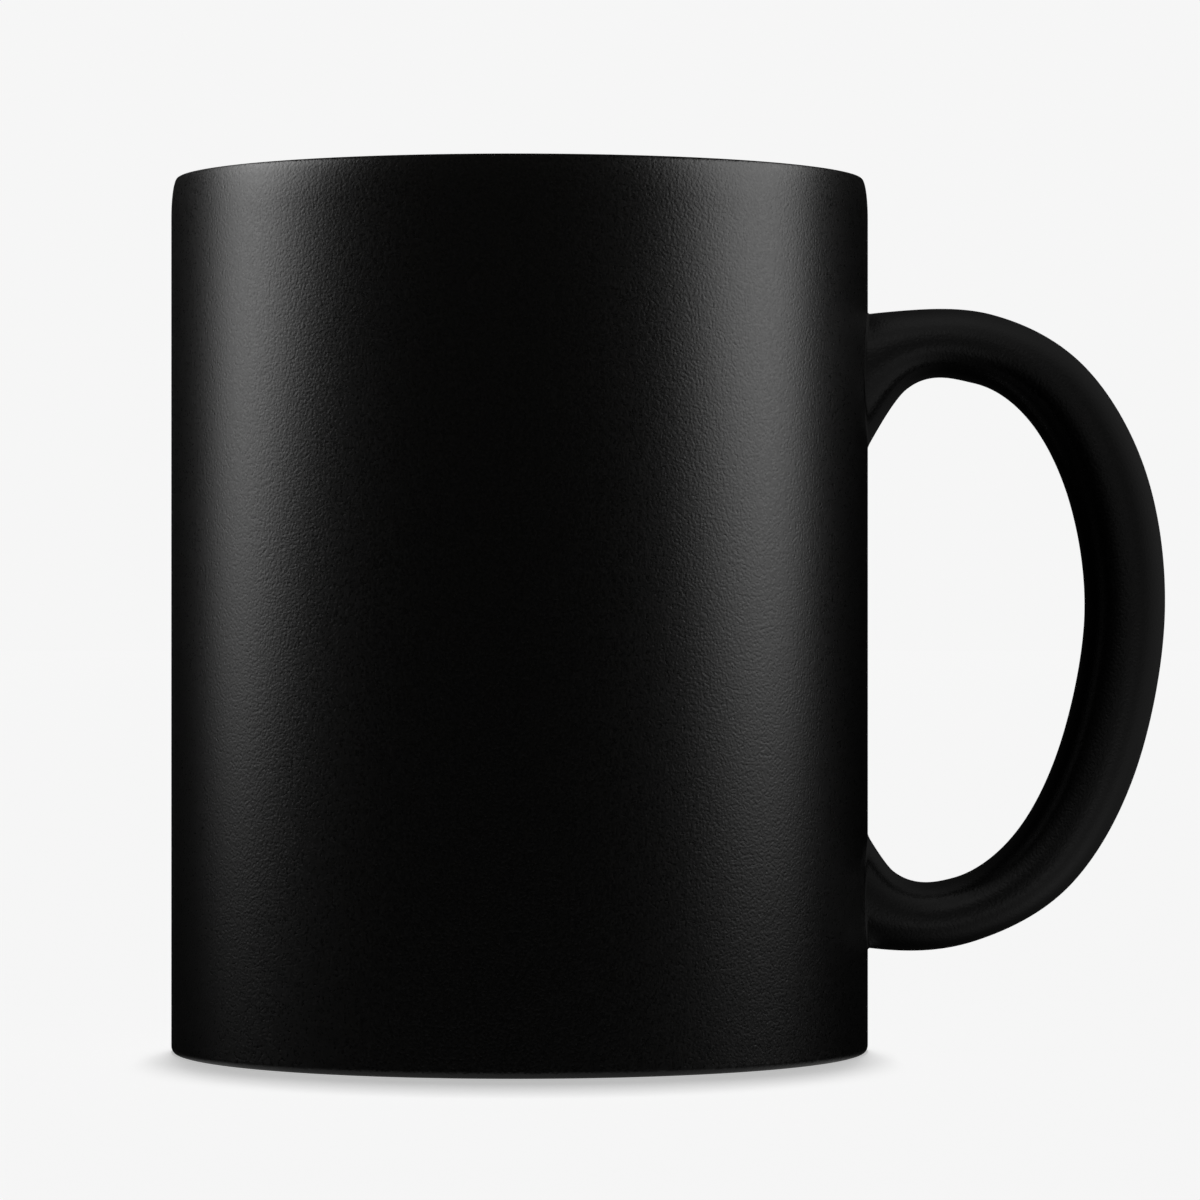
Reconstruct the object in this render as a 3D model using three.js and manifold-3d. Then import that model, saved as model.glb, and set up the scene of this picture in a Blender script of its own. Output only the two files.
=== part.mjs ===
// A straight-sided ceramic mug with an ear handle, in millimetres, +Z up.
// The clay body and the clay handle are two pieces, luted together with slip at the
// handle's two roots. Four coats of glaze lie over them. The foot ring is left bare.
import * as THREE from "three";
import { ParametricGeometry } from "three/addons/geometries/ParametricGeometry.js";
import { mergeVertices } from "three/addons/utils/BufferGeometryUtils.js";
import Module from "manifold-3d";

const wasm = await Module();
wasm.setup();

// Body
const bodyDiameter = 80; // outside, over the glaze
const bodyHeight = 100; // from the table to the top of the lip
const wallThickness = 4; // glaze on both sides included
const floorThickness = 4.5; // from the recess to the inside floor
const insideCornerRadius = 8; // between the inside wall and the floor
const glazeThickness = 0.3;

// Lip: a quarter ellipse on the outside and one on the inside, meeting at the crest
const lipOuterWidth = 0.7; // from the outside wall in to the crest
const lipOuterHeight = 4.5;
const lipInnerHeight = 2.5;

// Foot
const recessDepth = 2; // how far the underside is lifted off the table
const footRingWidth = 6.8; // from the outside wall to the recess
const recessFillet = 1;
const footInnerRound = 0.5; // the bare ring's inner edge
const footEdgeWidth = 0.5; // the outer bottom edge is a quarter ellipse
const footEdgeHeight = 0.8;
const outerGlazeEnd = 65; // degrees round that edge at which the outer glaze stops
const recessGlazeEnd = 0.8; // height above the table at which the recess glaze stops

// Handle
const handleReach = 34.2; // out from the body's wall
const handleTopBelowRim = 14.6; // from the top of the lip down to the handle's top
const handleBottomAboveFoot = 11.5; // from the table up to the handle's lowest point
const crestThickness = 8.1; // at the top
const bellyThickness = 9.1; // furthest from the body
const heelThickness = 7.6; // at the bottom
const sectionSquareness = 2.4; // 2 is an ellipse, more is squarer
const slipThickness = 0.8; // of the luted joints, measured out from the clay wall

// The handle is lofted through these sections, from the upper root to the lower one.
// The first and last lie inside the body, so that each root flares into the wall.
// Each holds: how far out its middle is, where 0 is the wall and 1 the belly's middle;
// how far up, where 0 is the heel's middle and 1 the crest's; thickness; width.
const handleSections = [
  [-0.389, 0.855, 24.6, 17.5],
  [0.086, 0.985, 9.6, 14.6],
  [0.449, 0.991, crestThickness, 13.2],
  [0.742, 0.91, 8.8, 12.8],
  [0.937, 0.743, 9.3, 12.8],
  [0.997, 0.522, bellyThickness, 13],
  [0.894, 0.279, 9.1, 12.8],
  [0.683, 0.103, 8.6, 12.6],
  [0.376, 0.014, heelThickness, 12.6],
  [0.043, 0.015, 9.4, 14.2],
  [-0.343, 0.127, 19.7, 16.5],
];

// Fits and fineness
const coatClearance = 0.1; // between pieces that are cut to meet each other
const turns = 48; // flats round the body, a multiple of 4
const sectionSides = 16; // flats round the handle
const stepsPerSection = 3; // rings between two handle sections

// Worked out from the values above
const outerRadius = bodyDiameter / 2;
const clayRadius = outerRadius - glazeThickness;
const insideRadius = outerRadius - wallThickness;
const clayInsideRadius = insideRadius + glazeThickness;
const lipInnerWidth = wallThickness - lipOuterWidth;
const lipOuter = new THREE.Vector2(outerRadius - lipOuterWidth, bodyHeight - lipOuterHeight);
const lipInner = new THREE.Vector2(lipOuter.x, bodyHeight - lipInnerHeight);
const insideFloor = recessDepth + floorThickness;
const insideCorner = new THREE.Vector2(
  insideRadius - insideCornerRadius,
  insideFloor + insideCornerRadius,
);
const recessRadius = outerRadius - footRingWidth;
const recessCorner = new THREE.Vector2(
  recessRadius - recessFillet,
  recessDepth - recessFillet,
);
const footEdge = new THREE.Vector2(outerRadius - footEdgeWidth, footEdgeHeight);
const footInner = new THREE.Vector2(
  recessRadius + glazeThickness + footInnerRound,
  footInnerRound,
);
const middleReach = handleReach - bellyThickness / 2;
const middleTop = bodyHeight - handleTopBelowRim - crestThickness / 2;
const middleBottom = handleBottomAboveFoot + heelThickness / 2;
const betweenRoots = (middleTop + middleBottom) / 2;
const clayInset = glazeThickness + coatClearance; // handle clay, in from the glaze's face

// Points of an elliptical arc about a centre, from one angle to another in degrees.
function arc(centre, radiusX, radiusY, from, to, steps) {
  const start = THREE.MathUtils.degToRad(from);
  const end = THREE.MathUtils.degToRad(to);
  const curve = new THREE.EllipseCurve(
    centre.x, centre.y, radiusX, radiusY, start, end, to < from,
  );
  return curve.getPoints(steps);
}

const at = (radius, height) => new THREE.Vector2(radius, height);

// The curves that the clay and the coats share. An inset of glazeThickness gives the
// clay's side of a coat, and 0 gives the finished face.
const footEdgeCurve = (inset, from, to) =>
  arc(footEdge, footEdgeWidth - inset, footEdgeHeight - inset, from, to, 4);

const lipCurve = (inset) => [
  ...arc(lipOuter, lipOuterWidth - inset, lipOuterHeight - inset, 0, 90, 5),
  ...arc(lipInner, lipInnerWidth - inset, lipInnerHeight - inset, 90, 180, 5).slice(1),
];

const insideCornerCurve = (inset, from, to) =>
  arc(insideCorner, insideCornerRadius + inset, insideCornerRadius + inset, from, to, 6);

const recessCurve = (inset, from, to) =>
  arc(recessCorner, recessFillet + inset, recessFillet + inset, from, to, 3);

// A solid for cutting and joining, from a closed geometry.
function solid(geometry) {
  const bare = geometry.clone();
  bare.deleteAttribute("normal");
  bare.deleteAttribute("uv");
  const merged = mergeVertices(bare, 1e-4);
  const corners = merged.index.array;
  const triangles = [];
  for (let i = 0; i < corners.length; i += 3) {
    const [a, b, c] = corners.slice(i, i + 3);
    // A pole's flat triangles have two corners in one place, so they are left out.
    if (a !== b && b !== c && c !== a) triangles.push(a, b, c);
  }
  return new wasm.Manifold(
    new wasm.Mesh({
      numProp: 3,
      vertProperties: merged.getAttribute("position").array,
      triVerts: new Uint32Array(triangles),
    }),
  );
}

// A profile of radius and height, turned about the vertical axis.
function turned(profile) {
  return solid(new THREE.LatheGeometry(profile, turns).rotateX(Math.PI / 2));
}

// A closed ring or disc of rectangular section about the body's axis.
function sleeve(innerRadius, radius, bottom, top) {
  return turned([
    at(innerRadius, bottom),
    at(radius, bottom),
    at(radius, top),
    at(innerRadius, top),
    at(innerRadius, bottom),
  ]);
}

function column(radius) {
  return turned([
    at(0, 0),
    at(radius, 0),
    at(radius, bodyHeight),
    at(0, bodyHeight),
  ]);
}

const handlePath = new THREE.CatmullRomCurve3(
  handleSections.map(
    ([out, up]) =>
      new THREE.Vector3(
        outerRadius + out * middleReach,
        0,
        THREE.MathUtils.lerp(middleBottom, middleTop, up),
      ),
  ),
  false,
  "catmullrom",
);

const handleGirth = new THREE.CatmullRomCurve3(
  handleSections.map(([, , thickness, width]) => new THREE.Vector3(thickness, width, 0)),
  false,
  "catmullrom",
);

const signedPower = (value, power) => Math.sign(value) * Math.abs(value) ** power;

// The handle's bar from root to root, with its surface moved in by the inset. The first
// and last rows of points lie on the path and close the ends.
function handleBar(inset) {
  const rings = (handleSections.length - 1) * stepsPerSection;
  const rows = rings + 2;
  const surface = (u, v, target) => {
    const row = Math.round(v * rows);
    const along = THREE.MathUtils.clamp((row - 1) / rings, 0, 1);
    const middle = handlePath.getPoint(along);
    const tangent = handlePath.getTangent(along);
    const girth = handleGirth.getPoint(along);
    const closing = row === 0 || row === rows ? 0 : 1;
    const angle = u * 2 * Math.PI;
    const power = 2 / sectionSquareness;
    const through = closing * (girth.x / 2 - inset) * signedPower(Math.cos(angle), power);
    const across = closing * (girth.y / 2 - inset) * signedPower(Math.sin(angle), power);
    target.set(
      middle.x - tangent.z * through,
      -across,
      middle.z + tangent.x * through,
    );
  };
  return solid(new ParametricGeometry(surface, sectionSides, rows));
}

// The body's clay: wall, floor and foot ring in one piece.
function bodyClay() {
  const glaze = glazeThickness;
  return turned([
    at(0, recessDepth + glaze),
    ...recessCurve(glaze, 90, 0),
    ...arc(footInner, footInnerRound, footInnerRound, 180, 270, 2),
    at(footEdge.x, 0),
    ...footEdgeCurve(glaze, -outerGlazeEnd, 0),
    ...lipCurve(glaze),
    ...insideCornerCurve(glaze, 0, -90),
    at(0, insideFloor - glaze),
  ]);
}

// The handle's clay, cut off where the slip of each joint begins.
function handleClay() {
  return handleBar(clayInset).subtract(column(clayRadius + slipThickness + coatClearance));
}

// A pad of slip between the wall and one end of the handle.
function slipJoint(bottom, top) {
  const inner = clayRadius + coatClearance;
  return handleBar(clayInset).intersect(
    sleeve(inner, clayRadius + slipThickness, bottom, top),
  );
}

// The outside coat, from the foot's edge up and over the lip, open at the handle's roots.
function outerGlaze() {
  const coat = turned([
    ...footEdgeCurve(0, -outerGlazeEnd, 0),
    ...lipCurve(0),
    ...lipCurve(glazeThickness).reverse(),
    ...footEdgeCurve(glazeThickness, 0, -outerGlazeEnd),
    footEdgeCurve(0, -outerGlazeEnd, 0)[0],
  ]);
  return coat.subtract(handleBar(-coatClearance));
}

// The inside coat, from the lip down the wall and across the floor.
function linerGlaze() {
  const clayLip = at(clayInsideRadius, lipInner.y);
  const finishedLip = at(insideRadius, lipInner.y);
  return turned([
    at(0, insideFloor - glazeThickness),
    ...insideCornerCurve(glazeThickness, -90, 0),
    clayLip,
    finishedLip,
    ...insideCornerCurve(0, 0, -90),
    at(0, insideFloor),
  ]);
}

// The coat in the recess under the foot.
function baseGlaze() {
  return turned([
    at(0, recessDepth),
    ...recessCurve(0, 90, 0),
    at(recessRadius, recessGlazeEnd),
    at(recessRadius + glazeThickness, recessGlazeEnd),
    ...recessCurve(glazeThickness, 0, 90),
    at(0, recessDepth + glazeThickness),
  ]);
}

// The coat round the handle, open where its two ends meet the wall.
function handleGlaze() {
  return handleBar(0)
    .subtract(handleBar(glazeThickness))
    .subtract(column(clayRadius + coatClearance));
}

const satinBlackGlaze = { color: "#141313", roughness: 0.5, metalness: 0 };
const glossBlackGlaze = { color: "#0e0e0f", roughness: 0.15, metalness: 0 };
const bareStoneware = { color: "#cdc0ac", roughness: 0.9, metalness: 0 };
const firedSlip = { color: "#c2b49f", roughness: 0.95, metalness: 0 };

function piece(name, shape, finish) {
  const { vertProperties, triVerts } = shape.getMesh();
  const geometry = new THREE.BufferGeometry();
  geometry.setAttribute("position", new THREE.BufferAttribute(vertProperties, 3));
  geometry.setIndex(new THREE.BufferAttribute(triVerts, 1));
  geometry.computeVertexNormals();
  const mesh = new THREE.Mesh(geometry, new THREE.MeshStandardMaterial(finish));
  mesh.name = name;
  return mesh;
}

// The body's axis stands at the middle of its foot; the mug's origin is the middle of the
// whole footprint, handle included, so everything moves back by half the handle's reach.
const mug = new THREE.Group();
mug.add(
  piece("body", bodyClay(), bareStoneware),
  piece("handle", handleClay(), bareStoneware),
  piece("upper_slip_joint", slipJoint(betweenRoots, bodyHeight), firedSlip),
  piece("lower_slip_joint", slipJoint(0, betweenRoots), firedSlip),
  piece("outer_glaze", outerGlaze(), satinBlackGlaze),
  piece("handle_glaze", handleGlaze(), satinBlackGlaze),
  piece("liner_glaze", linerGlaze(), glossBlackGlaze),
  piece("base_glaze", baseGlaze(), satinBlackGlaze),
);
mug.position.x = -handleReach / 2;

const part = new THREE.Group();
part.add(mug);

export default part;
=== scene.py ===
import bpy
import numpy as np
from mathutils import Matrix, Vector


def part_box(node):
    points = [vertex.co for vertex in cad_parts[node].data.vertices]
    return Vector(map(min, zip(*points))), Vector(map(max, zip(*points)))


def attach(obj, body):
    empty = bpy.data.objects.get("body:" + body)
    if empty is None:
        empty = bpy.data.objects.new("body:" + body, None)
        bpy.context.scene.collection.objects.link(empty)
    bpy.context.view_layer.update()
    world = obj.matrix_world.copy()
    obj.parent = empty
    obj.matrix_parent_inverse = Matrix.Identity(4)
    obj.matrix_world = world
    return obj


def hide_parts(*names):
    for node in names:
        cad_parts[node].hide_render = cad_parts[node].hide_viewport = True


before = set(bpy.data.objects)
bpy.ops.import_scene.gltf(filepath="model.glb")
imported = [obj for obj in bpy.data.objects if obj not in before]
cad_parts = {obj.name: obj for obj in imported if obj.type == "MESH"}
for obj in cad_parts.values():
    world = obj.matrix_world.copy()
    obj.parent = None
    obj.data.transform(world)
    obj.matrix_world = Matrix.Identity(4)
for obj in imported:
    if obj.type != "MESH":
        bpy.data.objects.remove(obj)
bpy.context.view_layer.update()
mm = 0.001  # the scene is in metres, and the sizes in this file are in millimetres


# Sizes read off the CAD frame: the width of a turned node along X is its diameter, and its
# heights are those of its profile.
def nodeSize(node):
    low, high = (np.array(corner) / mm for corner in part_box(node))
    return {"radius": (high[0] - low[0]) / 2, "bottom": low[2], "top": high[2],
            "middle": (high[0] + low[0]) / 2}


outer, clay = nodeSize("outer_glaze"), nodeSize("body")
liner, base, grip = nodeSize("liner_glaze"), nodeSize("base_glaze"), nodeSize("handle_glaze")
axisX = outer["middle"]  # where the mug's own axis stands
glaze = outer["radius"] - clay["radius"]  # one coat's thickness
insideRadius = liner["radius"] - glaze
insideFloor = liner["bottom"] + glaze
recessRadius = base["radius"] - glaze
recessDepth = base["top"] - glaze
lipInnerHeight = outer["top"] - liner["top"]  # the liner ends where the lip begins to round over
print("mug axis", round(axisX, 2), "radius", round(outer["radius"], 2), "glaze", round(glaze, 2))

bodyForm = {
    "turns": 288,  # steps round the axis
    "insideCorner": 8.0,  # radius between the inside wall and the floor
    "recessFillet": 1.0,
    "footInnerRound": 0.5,  # the bare ring's inner edge
    "footEdge": (0.5, 0.8),  # the outer bottom edge is a quarter ellipse this wide and high
    "footUndercut": 0.15,  # how far the sponge has worn the clay back under the coat's edge
    "lipOuter": (0.7, 4.5),  # and so is the lip's outer side
    "outerGlazeEnd": 65,  # degrees round that edge at which the coat stops
    "lipLap": 0.8,  # how far the outer coat runs down over the liner inside the lip
    "lapEdge": 1 / 3,  # where the lap's edge stands between the liner's face and the clay
    "lapBulge": (1 / 5, 0.6),  # how far it bulges, in coats, and how far down its lap
}

# The handle's sections from root to root, as the CAD lofts them: how far out the middle is,
# where 0 is the wall and 1 the belly's middle; how far up, where 0 is the heel's middle and
# 1 the crest's; thickness; width.
handleForm = {
    "crestThickness": 8.1,
    "bellyThickness": 9.1,
    "heelThickness": 7.6,
    "sections": [
        (-0.389, 0.855, 24.6, 17.5),
        (0.086, 0.985, 9.6, 14.6),
        (0.449, 0.991, 8.1, 13.2),
        (0.742, 0.910, 8.8, 12.8),
        (0.937, 0.743, 9.3, 12.8),
        (0.997, 0.522, 9.1, 13.0),
        (0.894, 0.279, 9.1, 12.8),
        (0.683, 0.103, 8.6, 12.6),
        (0.376, 0.014, 7.6, 12.6),
        (0.043, 0.015, 9.4, 14.2),
        (-0.343, 0.127, 19.7, 16.5),
    ],
    "squareness": 2.4,  # 2 is an ellipse, more is squarer
    "rings": 220,  # steps from root to root
    "sides": 72,  # steps round the section
    "fillet": 0.35,  # radius of the glaze that gathers where the handle meets the wall
    "filletSteps": 6,
    "tuck": 0.03,  # how far the coat's ends stand inside the wall's own coat
    "rootSearch": (0.3, 600),  # the share of the handle where a root may lie, and steps along it
}


# An elliptical arc: the centre plus each radius times the cosine and sine of the angle.
def arc(centre, radii, startAngle, endAngle, steps):
    angle = np.radians(np.linspace(startAngle, endAngle, steps + 1))
    return np.stack([centre[0] + radii[0] * np.cos(angle), centre[1] + radii[1] * np.sin(angle)], 1)


# A straight line whose points crowd towards both ends, by half of one minus a cosine, so that
# the shading of a flat wall stays flat right up to its fillets.
def line(start, end, steps):
    share = (1 - np.cos(np.linspace(0, np.pi, steps + 1))) / 2
    return np.array(start) + share[:, None] * (np.array(end) - np.array(start))


# A quadratic Bezier curve: start, corner and end weighted by (1-t)^2, 2t(1-t) and t^2.
def bend(start, corner, end, steps):
    t = np.linspace(0, 1, steps + 1).reshape(-1, *[1] * np.ndim(start))
    return (1 - t) ** 2 * start + 2 * t * (1 - t) * corner + t ** 2 * end


# The rounded end of a coat: a half circle from one face to the other, bulging towards beyond.
def coatEnd(fromPoint, toPoint, beyond, steps=8):
    fromPoint, toPoint, beyond = (np.array(point) for point in (fromPoint, toPoint, beyond))
    half = (fromPoint - toPoint) / 2
    away = beyond / np.linalg.norm(beyond) * np.linalg.norm(half)
    angle = np.linspace(0, np.pi, steps + 1)[1:-1, None]
    return (fromPoint + toPoint) / 2 + half * np.cos(angle) + away * np.sin(angle)


# A profile of radius and height carried round the mug's axis: the radius times the cosine and
# sine of the turn, and the height unchanged.
def turned(profile):
    turn = np.linspace(0, 2 * np.pi, bodyForm["turns"], endpoint=False)
    radius, height = np.concatenate(profile).T[:, :, None]
    return np.stack(np.broadcast_arrays(
        axisX + radius * np.cos(turn), radius * np.sin(turn), height), -1)


# A mesh from a grid of points that closes round its columns, and round its rows too where
# closedRows is true. Corners that fall in one place are merged, so a row at the axis becomes a
# pole with triangles round it. The faces are turned round if they enclose a negative volume,
# which is the sum over the triangles of a . (b x c) / 6.
def makePiece(name, grid, closedRows, finish, slot, *nodes):
    rows, columns = grid.shape[:2]
    index = np.arange(rows * columns).reshape(rows, columns)
    index = np.concatenate([index, index[:, :1]], 1)
    if closedRows:
        index = np.concatenate([index, index[:1]], 0)
    squares = np.stack([index[:-1, :-1], index[:-1, 1:], index[1:, 1:], index[1:, :-1]], -1)
    points = grid.reshape(-1, 3)
    _, first, place = np.unique(np.round(points, 5), axis=0, return_index=True, return_inverse=True)
    points, squares = points[first], place.reshape(-1)[squares.reshape(-1, 4)]
    poleBelow, poleAbove = squares[:, 0] == squares[:, 1], squares[:, 2] == squares[:, 3]
    triangles = np.concatenate([squares[poleBelow][:, [0, 2, 3]], squares[poleAbove][:, [0, 1, 2]]])
    squares = squares[~(poleBelow | poleAbove)]
    fan = np.concatenate([squares[:, [0, 1, 2]], squares[:, [0, 2, 3]], triangles])
    a, b, c = points[fan[:, 0]], points[fan[:, 1]], points[fan[:, 2]]
    if np.einsum("ij,ij->i", a, np.cross(b, c)).sum() < 0:
        squares, triangles = squares[:, ::-1], triangles[:, ::-1]
    mesh = bpy.data.meshes.new(name)
    mesh.from_pydata((points * mm).tolist(), [], squares.tolist() + triangles.tolist())
    mesh.polygons.foreach_set("use_smooth", np.ones(len(mesh.polygons), bool))
    mesh.materials.append(finish)
    piece = bpy.data.objects.new(name, mesh)
    bpy.context.scene.collection.objects.link(piece)
    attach(piece, "root")
    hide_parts(*nodes)
    print("made", name, "with", len(mesh.polygons), "faces")
    return piece


# The curves that the clay and the coats share. An inset of 0 is the finished face, and an
# inset of one coat is the clay's side of it.
def footCurve(inset, startAngle, endAngle):
    width, height = bodyForm["footEdge"]
    centre = (outer["radius"] - width, height)
    return arc(centre, (width - inset, height - inset), startAngle, endAngle, 10)


# The lip from its outer side over the crest to its inner side: two quarter ellipses.
def lipCurve(inset):
    width, height = bodyForm["lipOuter"]
    crest = outer["radius"] - width
    innerWidth = crest - insideRadius
    outside = arc((crest, outer["top"] - height), (width - inset, height - inset), 0, 90, 24)
    inside = arc((crest, liner["top"]), (innerWidth - inset, lipInnerHeight - inset), 90, 180, 24)
    return np.concatenate([outside, inside[1:]])


def cornerCurve(inset, startAngle, endAngle):
    corner = bodyForm["insideCorner"]
    centre = (insideRadius - corner, insideFloor + corner)
    return arc(centre, (corner + inset, corner + inset), startAngle, endAngle, 20)


def recessCurve(inset, startAngle, endAngle):
    fillet = bodyForm["recessFillet"]
    centre = (recessRadius - fillet, recessDepth - fillet)
    return arc(centre, (fillet + inset, fillet + inset), startAngle, endAngle, 10)


# sRGB hex to linear: a straight line up to 0.04045 and the 2.4 power curve above it.
def hexToLinear(hexColour):
    value = np.array([int(hexColour[i:i + 2], 16) for i in (1, 3, 5)]) / 255
    linear = np.where(value <= 0.04045, value / 12.92, ((value + 0.055) / 1.055) ** 2.4)
    return (*linear.tolist(), 1.0)


# Adds one node with its settings, its socket values and the sockets that feed it.
def addNode(tree, kind, settings={}, values={}, links={}):
    node = tree.nodes.new("ShaderNode" + kind)
    for name, value in settings.items():
        setattr(node, name, value)
    for socket, value in values.items():
        node.inputs[socket].default_value = value
    for socket, source in links.items():
        tree.links.new(source, node.inputs[socket])
    return node


# A pattern's scale for a noise or cell texture, whose cells are one unit wide at scale 1.
def perMetre(cellMillimetres):
    return 1 / (cellMillimetres * mm)


noiseSpan = {"From Min": 0.3, "From Max": 0.7}  # most values of a noise texture lie in here


# A new material with a place to read patterns from, centred on the mug's axis.
def newFinish(name):
    finish = bpy.data.materials.new(name)
    finish.use_nodes = True
    tree = finish.node_tree
    tree.nodes.clear()
    place = addNode(tree, "TexCoord").outputs["Object"]
    centred = addNode(tree, "Mapping", {}, {"Location": (-axisX * mm, 0, 0)}, {"Vector": place})
    return finish, tree, centred.outputs["Vector"]


def shadeFinish(tree, values, links):
    shader = addNode(tree, "BsdfPrincipled", {}, values, links)
    addNode(tree, "OutputMaterial", {}, {}, {"Surface": shader.outputs["BSDF"]})


# Satin black stoneware glaze, dipped and fired. Fine crystals left in the melt break the
# shine into a sandy sparkle, so highlights are soft and finely speckled.
satinGlaze = {
    "colour": "#121211",
    "crystalColour": "#191817",
    "speckle": 0.3,  # mm, drawn coarser than the real 0.1 mm grain so that it shows
    "speckleHeight": 0.035,  # mm
    "wave": 9.0,  # mm, the slow unevenness of a dipped coat
    "waveHeight": 0.004,
    "roughness": (0.265, 0.36),
    "ior": 1.5,
}


def makeSatinGlaze():
    finish, tree, place = newFinish("satinBlackGlazeDipped")
    speckle = addNode(tree, "TexNoise", {"noise_dimensions": "3D"}, {
        "Scale": perMetre(satinGlaze["speckle"]), "Detail": 1.0, "Roughness": 0.45}, {"Vector": place})
    wave = addNode(tree, "TexNoise", {}, {
        "Scale": perMetre(satinGlaze["wave"]), "Detail": 1.0}, {"Vector": place})
    colour = addNode(tree, "Mix", {"data_type": "RGBA"}, {
        6: hexToLinear(satinGlaze["colour"]), 7: hexToLinear(satinGlaze["crystalColour"])},
        {0: speckle.outputs[0]})
    low, high = satinGlaze["roughness"]
    shine = addNode(tree, "MapRange", {}, {**noiseSpan, "To Min": low, "To Max": high},
                    {"Value": speckle.outputs[0]})
    slow = addNode(tree, "Bump", {}, {"Distance": satinGlaze["waveHeight"] * mm},
                   {"Height": wave.outputs[0]})
    fine = addNode(tree, "Bump", {}, {"Distance": satinGlaze["speckleHeight"] * mm},
                   {"Height": speckle.outputs[0], "Normal": slow.outputs[0]})
    shadeFinish(tree, {"IOR": satinGlaze["ior"]}, {
        "Base Color": colour.outputs[2], "Roughness": shine.outputs[0], "Normal": fine.outputs[0]})
    return finish


# Gloss black liner glaze, poured in and fired smooth. It has run and levelled, so the inside
# mirrors the light with a slow wave in it and a pinhole here and there.
linerGlaze = {
    "colour": "#0d0d0e",
    "thinColour": "#17140f",  # where the melt is thin the clay warms it
    "wave": 14.0,
    "waveHeight": 0.03,
    "pinhole": 5.0,  # mm between pinholes
    "pinholeDepth": 0.05,
    "roughness": (0.07, 0.13),
    "ior": 1.52,
}


def makeLinerGlaze():
    finish, tree, place = newFinish("glossBlackGlazePoured")
    wave = addNode(tree, "TexNoise", {}, {
        "Scale": perMetre(linerGlaze["wave"]), "Detail": 2.0}, {"Vector": place})
    holes = addNode(tree, "TexVoronoi", {}, {"Scale": perMetre(linerGlaze["pinhole"])},
                    {"Vector": place})
    depth = addNode(tree, "MapRange", {"interpolation_type": "SMOOTHSTEP"}, {
        "From Min": 0.02, "From Max": 0.06}, {"Value": holes.outputs["Distance"]})
    colour = addNode(tree, "Mix", {"data_type": "RGBA"}, {
        6: hexToLinear(linerGlaze["colour"]), 7: hexToLinear(linerGlaze["thinColour"])},
        {0: wave.outputs[0]})
    low, high = linerGlaze["roughness"]
    shine = addNode(tree, "MapRange", {}, {**noiseSpan, "To Min": low, "To Max": high},
                    {"Value": wave.outputs[0]})
    slow = addNode(tree, "Bump", {}, {"Distance": linerGlaze["waveHeight"] * mm},
                   {"Height": wave.outputs[0]})
    pitted = addNode(tree, "Bump", {}, {"Distance": linerGlaze["pinholeDepth"] * mm},
                     {"Height": depth.outputs[0], "Normal": slow.outputs[0]})
    shadeFinish(tree, {"IOR": linerGlaze["ior"]}, {
        "Base Color": colour.outputs[2], "Roughness": shine.outputs[0], "Normal": pitted.outputs[0]})
    return finish


# Bare buff stoneware, jiggered, sponged and fired unglazed. The sponge has washed fine clay
# away from the sand, so the foot looks dry, sandy and flecked with iron.
stoneware = {
    "colour": "#cdc0ac",
    "shadeColour": "#b9a88f",
    "ironColour": "#5d4632",
    "sand": 0.45,  # mm, drawn coarser than the real 0.2 mm sand so that it shows
    "sandHeight": 0.05,
    "cloud": 7.0,
    "fleck": 2.2,  # mm between iron flecks
    "roughness": (0.78, 0.92),
}


# Fired joining slip, brushed on between handle and wall: paler and chalkier than the clay,
# with brush ridges.
joiningSlip = {
    "colour": "#d8cdb9",
    "shadeColour": "#c2b49f",
    "ironColour": "#8a7558",
    "sand": 0.3,
    "sandHeight": 0.03,
    "cloud": 3.0,
    "fleck": 4.0,
    "roughness": (0.85, 0.97),
}


def makeFiredClay(name, form):
    finish, tree, place = newFinish(name)
    sand = addNode(tree, "TexNoise", {}, {
        "Scale": perMetre(form["sand"]), "Detail": 3.0, "Roughness": 0.6}, {"Vector": place})
    cloud = addNode(tree, "TexNoise", {}, {
        "Scale": perMetre(form["cloud"]), "Detail": 2.0}, {"Vector": place})
    cells = addNode(tree, "TexVoronoi", {}, {"Scale": perMetre(form["fleck"])}, {"Vector": place})
    iron = addNode(tree, "MapRange", {"interpolation_type": "SMOOTHSTEP"}, {
        "From Min": 0.05, "From Max": 0.12, "To Min": 0.8, "To Max": 0.0},
        {"Value": cells.outputs["Distance"]})
    clouded = addNode(tree, "Mix", {"data_type": "RGBA"}, {
        6: hexToLinear(form["colour"]), 7: hexToLinear(form["shadeColour"])}, {0: cloud.outputs[0]})
    flecked = addNode(tree, "Mix", {"data_type": "RGBA"}, {7: hexToLinear(form["ironColour"])},
                      {0: iron.outputs[0], 6: clouded.outputs[2]})
    low, high = form["roughness"]
    dry = addNode(tree, "MapRange", {}, {**noiseSpan, "To Min": low, "To Max": high},
                  {"Value": sand.outputs[0]})
    grain = addNode(tree, "Bump", {}, {"Distance": form["sandHeight"] * mm},
                    {"Height": sand.outputs[0]})
    shadeFinish(tree, {"IOR": 1.45, "Specular IOR Level": 0.3}, {
        "Base Color": flecked.outputs[2], "Roughness": dry.outputs[0], "Normal": grain.outputs[0]})
    return finish


satinBlackGlaze = makeSatinGlaze()
glossBlackGlaze = makeLinerGlaze()
bareStoneware = makeFiredClay("buffStonewareUnglazed", stoneware)
firedSlip = makeFiredClay("joiningSlipFired", joiningSlip)
print("made the four finishes")


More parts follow.
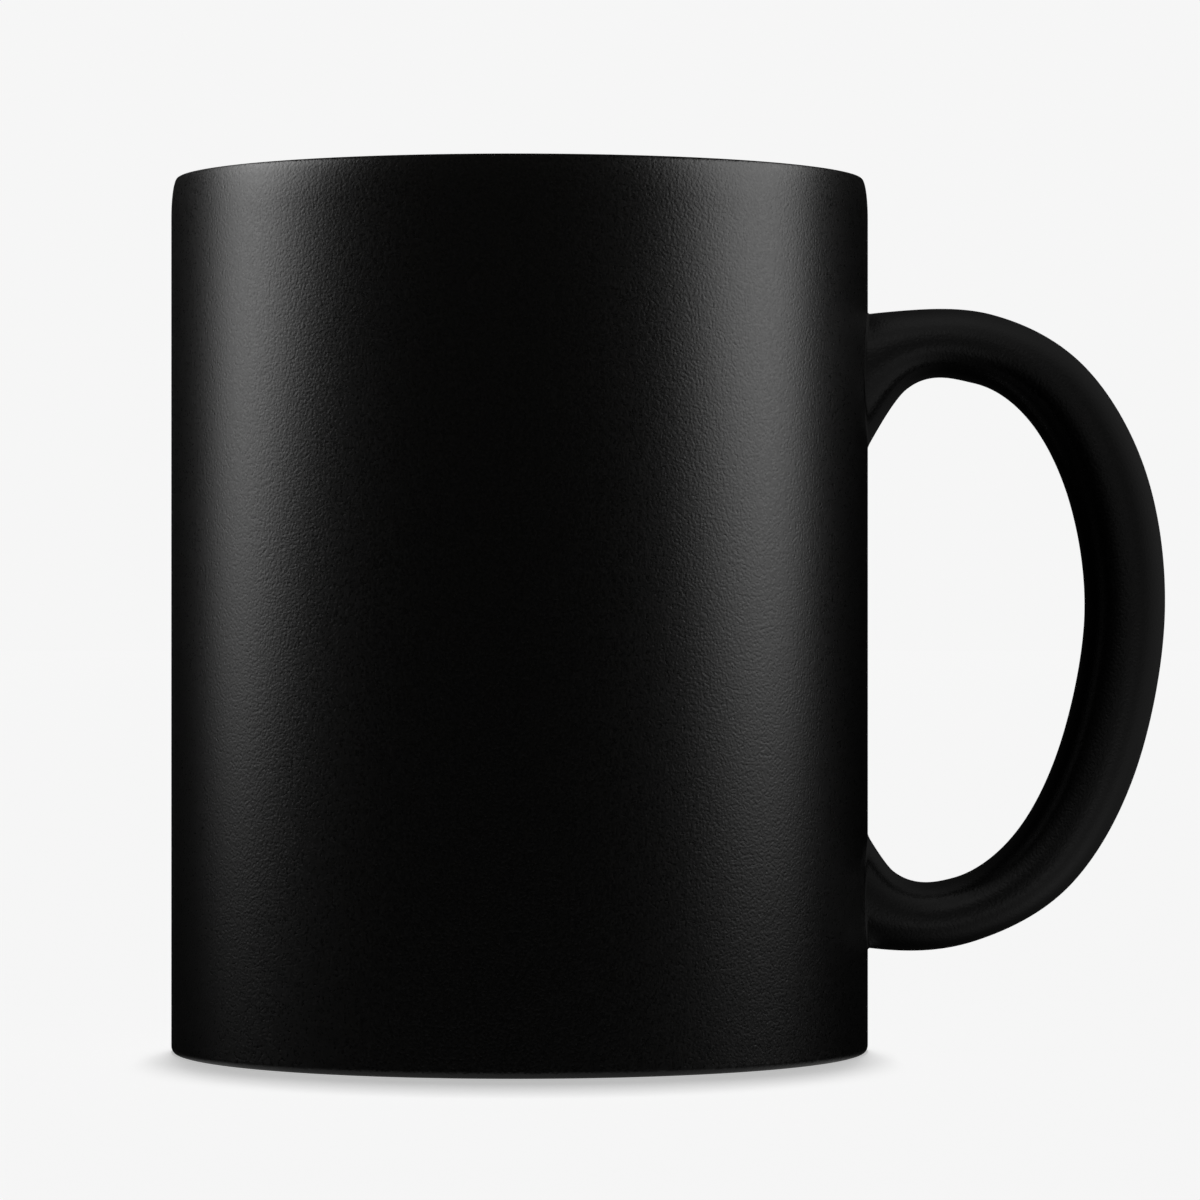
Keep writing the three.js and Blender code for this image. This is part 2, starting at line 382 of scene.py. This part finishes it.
# The clay body: from the recess's middle round the foot, up the wall, over the lip and down
# to the middle of the inside floor.
def makeClayBody():
    footInner = bodyForm["footInnerRound"]
    ringStart = recessRadius + glaze + footInner
    ringEnd = outer["radius"] - bodyForm["footEdge"][0]
    coatFoot = footCurve(glaze, -bodyForm["outerGlazeEnd"], 0)
    lip = lipCurve(glaze)
    corner = cornerCurve(glaze, 0, -90)
    recess = recessCurve(glaze, 90, 0)
    innerRound = arc((ringStart, footInner), (footInner, footInner), 180, 270, 8)
    footCorner = np.array((coatFoot[0, 0] - bodyForm["footUndercut"], 0.0))
    profile = [
        line((0, recessDepth + glaze), recess[0], 12), recess[1:],
        innerRound, line(innerRound[-1], (ringEnd, 0), 8)[1:],
        bend(np.array((ringEnd, 0.0)), footCorner, coatFoot[0], 4)[1:],
        coatFoot[1:], line(coatFoot[-1], lip[0], 40)[1:-1], lip,
        line(lip[-1], corner[0], 40)[1:-1], corner,
        line(corner[-1], (0, insideFloor - glaze), 12)[1:],
    ]
    return makePiece("clayBody", turned(profile), False, bareStoneware, "bare_stoneware", "body")


# The outside coat: a closed skin from its rounded edge at the foot, up the wall and over the
# lip, thinning into a soft lap over the liner, and back down its clay side.
def makeOuterCoat():
    end = bodyForm["outerGlazeEnd"]
    face, back = footCurve(0, -end, 0), footCurve(glaze, 0, -end)
    lip, lipBack = lipCurve(0), lipCurve(glaze)[::-1]
    lap, (bulge, bulgeDown) = bodyForm["lipLap"], bodyForm["lapBulge"]
    lapEnd = np.array((insideRadius + glaze * bodyForm["lapEdge"], liner["top"] - lap))
    lapBulge = np.array((insideRadius - glaze * bulge, liner["top"] - lap * bulgeDown))
    profile = [
        face, line(face[-1], lip[0], 60)[1:-1], lip,
        bend(lip[-1], lapBulge, lapEnd, 8)[1:],
        lipBack, line(lipBack[-1], back[0], 40)[1:-1], back,
        coatEnd(back[-1], face[0], face[0] - face[1]),
    ]
    return makePiece("outerCoat", turned(profile), True, satinBlackGlaze, "satin_black_glaze",
                     "outer_glaze")


# The liner: the finished face across the floor and up the wall, its rounded top edge under
# the outer coat's lap, and its clay side back down.
def makeLinerCoat():
    face, back = cornerCurve(0, -90, 0), cornerCurve(glaze, 0, -90)
    top, topBack = (insideRadius, liner["top"]), (insideRadius + glaze, liner["top"])
    profile = [
        line((0, insideFloor), face[0], 24), face[1:], line(face[-1], top, 60)[1:],
        coatEnd(top, topBack, (0, 1)), [topBack],
        line(topBack, back[0], 40)[1:], back[1:], line(back[-1], (0, insideFloor - glaze), 12)[1:],
    ]
    return makePiece("linerCoat", turned(profile), False, glossBlackGlaze, "gloss_black_glaze",
                     "liner_glaze")


# The coat in the recess under the foot, with a rounded edge above the bare ring.
def makeBaseCoat():
    face, back = recessCurve(0, 90, 0), recessCurve(glaze, 0, 90)
    edge, edgeBack = (recessRadius, base["bottom"]), (recessRadius + glaze, base["bottom"])
    profile = [
        line((0, recessDepth), face[0], 16), face[1:], [edge], coatEnd(edge, edgeBack, (0, -1)),
        [edgeBack], back, line(back[-1], (0, recessDepth + glaze), 12)[1:],
    ]
    return makePiece("baseCoat", turned(profile), False, satinBlackGlaze, "satin_black_glaze",
                     "base_glaze")


# A uniform Catmull-Rom curve through rows of values, at places 0 to 1 along it: in each
# interval half of (2 P1 + (P2-P0) t + (2 P0-5 P1+4 P2-P3) t^2 + (3 P1-P0-3 P2+P3) t^3). The
# row before the first is twice the first less the second, and the same at the far end.
def smoothThrough(rows, along):
    rows = np.concatenate([[2 * rows[0] - rows[1]], rows, [2 * rows[-1] - rows[-2]]])
    place = np.clip(along, 0, 1) * (len(rows) - 3)
    start = np.minimum(place.astype(int), len(rows) - 4)
    t = (place - start)[..., None]
    p0, p1, p2, p3 = (rows[start + k] for k in range(4))
    value = (2 * p1 + (p2 - p0) * t + (2 * p0 - 5 * p1 + 4 * p2 - p3) * t ** 2
             + (3 * p1 - p0 - 3 * p2 + p3) * t ** 3) / 2
    slope = ((p2 - p0) + 2 * (2 * p0 - 5 * p1 + 4 * p2 - p3) * t
             + 3 * (3 * p1 - p0 - 3 * p2 + p3) * t ** 2) / 2
    return value, slope


# A power that keeps its sign.
def signedPower(value, power):
    return np.sign(value) * np.abs(value) ** power


# The handle's face moved in by an inset: at each place along its middle line stands a
# superellipse, half the thickness times the signed power of the angle's cosine across the
# line in the handle's plane, and half the width times that of its sine along Y.
def handleFace(along, angle, inset):
    reach = -2 * axisX - handleForm["bellyThickness"] / 2  # the footprint is centred on the origin
    top = grip["top"] - handleForm["crestThickness"] / 2
    bottom = grip["bottom"] + handleForm["heelThickness"] / 2
    out, up, thickness, width = np.array(handleForm["sections"]).T
    wall = axisX + outer["radius"]
    rows = np.stack([wall + out * reach, bottom + up * (top - bottom), thickness, width], 1)
    value, slope = smoothThrough(rows, along)
    tangent = slope[..., :2] / np.linalg.norm(slope[..., :2], axis=-1, keepdims=True)
    power = 2 / handleForm["squareness"]
    through = (value[..., 2] / 2 - inset) * signedPower(np.cos(angle), power)
    across = (value[..., 3] / 2 - inset) * signedPower(np.sin(angle), power)
    middle = np.stack([value[..., 0], np.zeros_like(through), value[..., 1]], -1)
    face = np.stack([value[..., 0] - tangent[..., 1] * through, across,
                     value[..., 1] + tangent[..., 0] * through], -1)
    return face, middle


# How far a point stands from the mug's axis.
def fromAxis(points):
    return np.hypot(points[..., 0] - axisX, points[..., 1])


# For each line of the handle's face, the place along it at which it comes out of a cylinder
# about the mug's axis, found on a fine grid and then between two of its points by proportion.
def whereItLeaves(radius, angle, inset, fromRoot):
    reach, steps = handleForm["rootSearch"]
    fine = np.linspace(0, reach, steps) if fromRoot == "upper" else np.linspace(1, 1 - reach, steps)
    along = fine[:, None] + 0 * angle
    gone = fromAxis(handleFace(along, angle, inset)[0])
    first = np.argmax(gone > radius, axis=0)
    column = np.arange(len(angle))
    before, after = gone[first - 1, column], gone[first, column]
    share = (radius - before) / (after - before)
    return fine[first - 1] + share * (fine[first] - fine[first - 1])


# Glaze gathered in the corner at one root: a Bezier curve along each line of the face, from
# the face one fillet out from the wall, towards where it meets the wall, and away along it.
def rootFillet(angle, root):
    fillet, wall = handleForm["fillet"], outer["radius"]
    leaves, _ = handleFace(whereItLeaves(wall + fillet, angle, 0, root), angle, 0)
    meets, middle = handleFace(whereItLeaves(wall, angle, 0, root), angle, 0)
    radial = (meets - (axisX, 0, 0)) * (1, 1, 0) / wall
    outward = meets - middle
    outward -= (outward * radial).sum(1, keepdims=True) * radial
    outward /= np.linalg.norm(outward, axis=1, keepdims=True)
    lands = meets + fillet * outward
    shrink = (wall - handleForm["tuck"]) / fromAxis(lands)
    lands[:, :2] = (axisX, 0) + (lands[:, :2] - (axisX, 0)) * shrink[:, None]
    return bend(leaves, meets, lands, handleForm["filletSteps"])


# The coat round the handle: its face from the upper root to the lower one with a fillet at
# each, and its clay side back again, so that it is one closed skin.
def makeHandleCoat():
    wall = outer["radius"]
    angle = np.linspace(0, 2 * np.pi, handleForm["sides"], endpoint=False)
    share = np.linspace(0, 1, handleForm["rings"])[:, None]
    start = whereItLeaves(wall + handleForm["fillet"], angle, 0, "upper")
    end = whereItLeaves(wall + handleForm["fillet"], angle, 0, "lower")
    face, _ = handleFace(start + share * (end - start), angle + 0 * share, 0)
    tucked = wall - handleForm["tuck"]
    backStart = whereItLeaves(tucked, angle, glaze, "upper")
    backEnd = whereItLeaves(tucked, angle, glaze, "lower")
    share = np.linspace(1, 0, handleForm["rings"] // 2)[:, None]
    back, _ = handleFace(backStart + share * (backEnd - backStart), angle + 0 * share, glaze)
    grid = np.concatenate([rootFillet(angle, "upper")[::-1], face[1:-1],
                           rootFillet(angle, "lower"), back])
    return makePiece("handleCoat", grid, True, satinBlackGlaze, "satin_black_glaze", "handle_glaze")


clayBody = makeClayBody()
outerCoat = makeOuterCoat()
linerCoat = makeLinerCoat()
baseCoat = makeBaseCoat()
handleCoat = makeHandleCoat()

# The handle's clay and the slip that lutes it stay as the CAD has them, out of sight.
for node, finish in (("handle", bareStoneware), ("upper_slip_joint", firedSlip),
                     ("lower_slip_joint", firedSlip)):
    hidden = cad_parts[node]
    hidden.data.materials.clear()
    hidden.data.materials.append(finish)

# The stage: floor, light cards, lamps and camera. The shade is what is left of the paper's
# light in full shadow, and the drop sets it just under the foot.
paper = {"colour": "#f6f6f6", "shade": 0.49, "matt": 0.8, "halfSide": 6000.0, "drop": 0.02}


def collectionOf(name, *objects):
    made = bpy.data.collections.new(name)
    for each in objects:
        made.objects.link(each)
    return made


# Adds a mesh to the stage from rows and columns of points, hidden from some kinds of ray.
def stageSheet(name, grid, material, hiddenFrom):
    rows, columns = grid.shape[:2]
    index = np.arange(rows * columns).reshape(rows, columns)
    faces = np.stack([index[:-1, :-1], index[1:, :-1], index[1:, 1:], index[:-1, 1:]], -1)
    mesh = bpy.data.meshes.new(name)
    mesh.from_pydata((grid.reshape(-1, 3) * mm).tolist(), [], faces.reshape(-1, 4).tolist())
    mesh.materials.append(material)
    made = bpy.data.objects.new(name, mesh)
    bpy.context.scene.collection.objects.link(made)
    for rays in hiddenFrom:
        setattr(made, "visible_" + rays, False)
    return made


# A wide sheet of pale paper. Part of its light is its own and part comes from the overhead
# lamp, so the mug's shadow is a soft grey and the paper stays even everywhere else.
def makeFloor():
    material = bpy.data.materials.new("paleSweepPaper")
    material.use_nodes = True
    tree = material.node_tree
    tree.nodes.clear()
    glow = addNode(tree, "Emission", {}, {"Color": (1, 1, 1, 1), "Strength": paper["shade"]})
    matt = addNode(tree, "BsdfDiffuse", {}, {"Color": (*[paper["matt"]] * 3, 1)})
    both = addNode(tree, "AddShader", {}, {}, {0: glow.outputs[0], 1: matt.outputs[0]})
    addNode(tree, "OutputMaterial", {}, {}, {"Surface": both.outputs[0]})
    side = np.array([-paper["halfSide"], paper["halfSide"]])
    x, y = np.meshgrid(side, side, indexing="ij")
    grid = np.stack([x, y, np.full_like(x, -paper["drop"])], -1)
    return stageSheet("floor", grid, material, ("glossy", "diffuse", "transmission", "shadow"))


floor = makeFloor()


# A sheet that gives light, by a strength at each of its points that its material reads from
# an attribute. It shows only as a reflection, on the pieces that it is linked to, and it is
# clear, so that no sheet stands in another one's way.
def makeGlowSheet(name, grid, glow, receivers):
    material = bpy.data.materials.new(name)
    material.use_nodes = True
    tree = material.node_tree
    tree.nodes.clear()
    level = addNode(tree, "Attribute", {"attribute_name": "glow"})
    light = addNode(tree, "Emission", {}, {}, {"Strength": level.outputs["Fac"]})
    clear = addNode(tree, "BsdfTransparent")
    both = addNode(tree, "AddShader", {}, {}, {0: light.outputs[0], 1: clear.outputs[0]})
    addNode(tree, "OutputMaterial", {}, {}, {"Surface": both.outputs[0]})
    made = stageSheet(name, grid, material, ("camera", "diffuse", "shadow"))
    made.data.attributes.new("glow", "FLOAT", "POINT").data.foreach_set(
        "value", glow.ravel().astype(np.float32))
    made.light_linking.receiver_collection = receivers


# A smooth step from 0 at start to 1 at end: 3 t^2 - 2 t^3, with t held between 0 and 1.
def smoothStep(value, start, end):
    t = np.clip((value - start) / (end - start), 0, 1)
    return t * t * (3 - 2 * t)


# The unit vector towards an angle round from the front and an angle above the horizon.
def direction(roundDegrees, upDegrees):
    turn, rise = np.radians(roundDegrees), np.radians(upDegrees)
    return np.stack(np.broadcast_arrays(
        np.cos(rise) * np.sin(turn), -np.cos(rise) * np.cos(turn), np.sin(rise)), -1)


# Two soft boxes stand left and right of the mug. Each is a curved card about the mug's axis
# whose glow fades towards its edges. Angles are in degrees round the axis from the front,
# heights and distances in millimetres. Each pair is the angle or height at which a fade
# starts and ends, the inner one at the lip's height; lean moves the inner fade as the card
# rises, up to leanTop, and from there on flare moves the outer one out.
softBoxes = [
    {"side": -1, "glow": 4.9, "outer": (117.0, 78.0), "inner": (61.3, 99.0), "lean": 0.214,
     "low": (-14.0, 84.4), "span": (40.0, 145.0)},
    {"side": 1, "glow": 3.15, "outer": (104.8, 85.0), "inner": (46.6, 72.6), "lean": 0.108,
     "low": (-9.0, 106.9), "span": (30.0, 132.0)},
]
softBoxPlace = {"radius": 250.0, "bottom": -15.0, "top": 300.0, "leanTop": 130.0,
                "flare": 0.15, "columns": 60, "rows": 40}


# The glow of a soft box is the product of its fades.
def makeSoftBox(box, receivers):
    degrees = np.linspace(*box["span"], softBoxPlace["columns"])[:, None]
    height = np.linspace(softBoxPlace["bottom"], softBoxPlace["top"], softBoxPlace["rows"])[None]
    lean = box["lean"] * (np.minimum(height, softBoxPlace["leanTop"]) - outer["top"])
    flare = softBoxPlace["flare"] * np.maximum(height - softBoxPlace["leanTop"], 0)
    glow = box["glow"] * smoothStep(degrees - flare, *box["outer"])
    glow = glow * smoothStep(height, *box["low"])
    glow = glow * smoothStep(degrees + lean, *box["inner"])
    grid = softBoxPlace["radius"] * direction(box["side"] * degrees, 0 * height)
    grid = np.concatenate([grid[..., :2] + (axisX, 0), height[..., None] + 0 * grid[..., :1]], -1)
    name = "softBoxLeft" if box["side"] < 0 else "softBoxRight"
    makeGlowSheet(name, grid, glow, receivers)


# The table as the wall reflects it when it is seen from above: a bowl far off and well below
# the horizon, so that a view from the side doesn't find it.
tableGlow = {"glow": 0.35, "fade": (-16.0, -30.0)}
farSheet = {"radius": 1000.0, "height": 50.0}  # of the bowl and of the dome, and their middle


def makeTableGlow(receivers):
    turn, rise = np.linspace(0, 360, 73)[:, None], np.linspace(-89, -12, 40)[None]
    grid = (axisX, 0, farSheet["height"]) + farSheet["radius"] * direction(turn, rise)
    glow = tableGlow["glow"] * smoothStep(rise + 0 * turn, *tableGlow["fade"])
    makeGlowSheet("tableGlow", grid, glow, receivers)


# The studio as the handle reflects it: a dark dome with soft patches of light. Each holds its
# angle round from the front and above the horizon, its width in degrees and its strength.
handlePatches = [
    (-2, 28, 17, 0.34),
    (-8, 77, 39, 0.29),
    (90, 18, 52, 0.18),
    (68, -45, 30, 0.26),
    (21, -20, 16, 0.33),
]


# A patch's glow falls off as e to the power of minus the square of the angle from its middle,
# over its width.
def makeHandleDome(receivers):
    turn, rise = np.linspace(-180, 180, 145)[:, None], np.linspace(-89, 89, 72)[None]
    toward = direction(turn, rise)
    glow = 0
    for aroundFront, above, width, strength in handlePatches:
        angle = np.degrees(np.arccos(np.clip(toward @ direction(aroundFront, above), -1, 1)))
        glow = glow + strength * np.exp(-(angle / width) ** 2)
    grid = (-axisX, 0, farSheet["height"]) + farSheet["radius"] * toward
    makeGlowSheet("handleDome", grid, glow, receivers)


# A lamp of some kind, aimed from one point at another, with the pieces that it lights.
def makeLamp(name, kind, settings, start, target, receivers, hiddenFrom=(), blockers=None):
    lamp = bpy.data.lights.new(name, kind)
    for key, value in settings.items():
        setattr(lamp, key, value)
    made = bpy.data.objects.new(name, lamp)
    bpy.context.scene.collection.objects.link(made)
    made.location = Vector(start) * mm
    made.rotation_mode = "QUATERNION"
    made.rotation_quaternion = (Vector(start) - Vector(target)).to_track_quat("Z", "Y")
    for rays in hiddenFrom:
        setattr(made, "visible_" + rays, False)
    made.light_linking.receiver_collection = receivers
    if blockers:
        made.light_linking.blocker_collection = blockers


wallOnly = collectionOf("lit as the wall", outerCoat)
smallPieces = collectionOf("lit by the dome", handleCoat, linerCoat, baseCoat)
linerOnly = collectionOf("lit as the liner", linerCoat)
floorOnly = collectionOf("lit as the floor", floor)
shadesFloor = collectionOf("shades the floor", outerCoat, clayBody)

for box in softBoxes:
    makeSoftBox(box, wallOnly)
makeTableGlow(wallOnly)
makeHandleDome(smallPieces)

paperWhite = hexToLinear(paper["colour"])[0]
# A long lamp almost overhead: its angle above the horizon, and how wide and long it looks.
overhead = {"elevation": 81.4, "wide": 3.8, "long": 10.5, "distance": 100e3}
rise = np.radians(overhead["elevation"])
irradiance = (paperWhite - paper["shade"]) * np.pi / paper["matt"] / np.sin(rise)
lampSize = overhead["distance"] * mm * np.radians([overhead["wide"], overhead["long"]])
makeLamp("overheadLamp", "AREA",
         {"energy": irradiance * np.pi * (overhead["distance"] * mm) ** 2,
          "shape": "RECTANGLE", "size": lampSize[0], "size_y": lampSize[1]},
         overhead["distance"] * np.array((0, np.cos(rise), np.sin(rise))), (0, 0, 0),
         floorOnly, ("camera",), shadesFloor)
makeLamp("frontLamp", "POINT", {"energy": 0.65, "shadow_soft_size": 0.02},
         (axisX, -150, 260), (axisX, 0, 0), wallOnly, ("glossy",))
makeLamp("linerLamp", "AREA", {"energy": 3.0, "shape": "DISK", "size": 0.3},
         (axisX - 60, -40, 500), (axisX, 0, 50), linerOnly)

# The world shows the camera plain paper, and gives the pieces next to no light.
world = bpy.data.worlds.new("studio")
bpy.context.scene.world = world
world.use_nodes = True
world.node_tree.nodes.clear()
rays = addNode(world.node_tree, "LightPath")
level = addNode(world.node_tree, "MapRange", {}, {"To Min": 0.0007, "To Max": paperWhite},
                {"Value": rays.outputs["Is Camera Ray"]})
sky = addNode(world.node_tree, "Background", {}, {"Color": (1, 1, 1, 1)},
              {"Strength": level.outputs[0]})
addNode(world.node_tree, "OutputWorld", {}, {}, {"Surface": sky.outputs[0]})

view = {"lens": 168.15, "distance": 645.0, "height": 50.91, "across": 9.22, "rise": 0.0064}
camera = bpy.data.objects.new("camera", bpy.data.cameras.new("camera"))
bpy.context.scene.collection.objects.link(camera)
camera.data.lens = view["lens"]
camera.data.sensor_width = 36.0
camera.data.shift_y = view["rise"]
camera.location = ((axisX + view["across"]) * mm, -view["distance"] * mm, view["height"] * mm)
camera.rotation_euler = (np.pi / 2, 0, 0)
bpy.context.scene.camera = camera
bpy.context.scene.view_settings.view_transform = "Standard"
print("set the stage, the lamps and the camera")
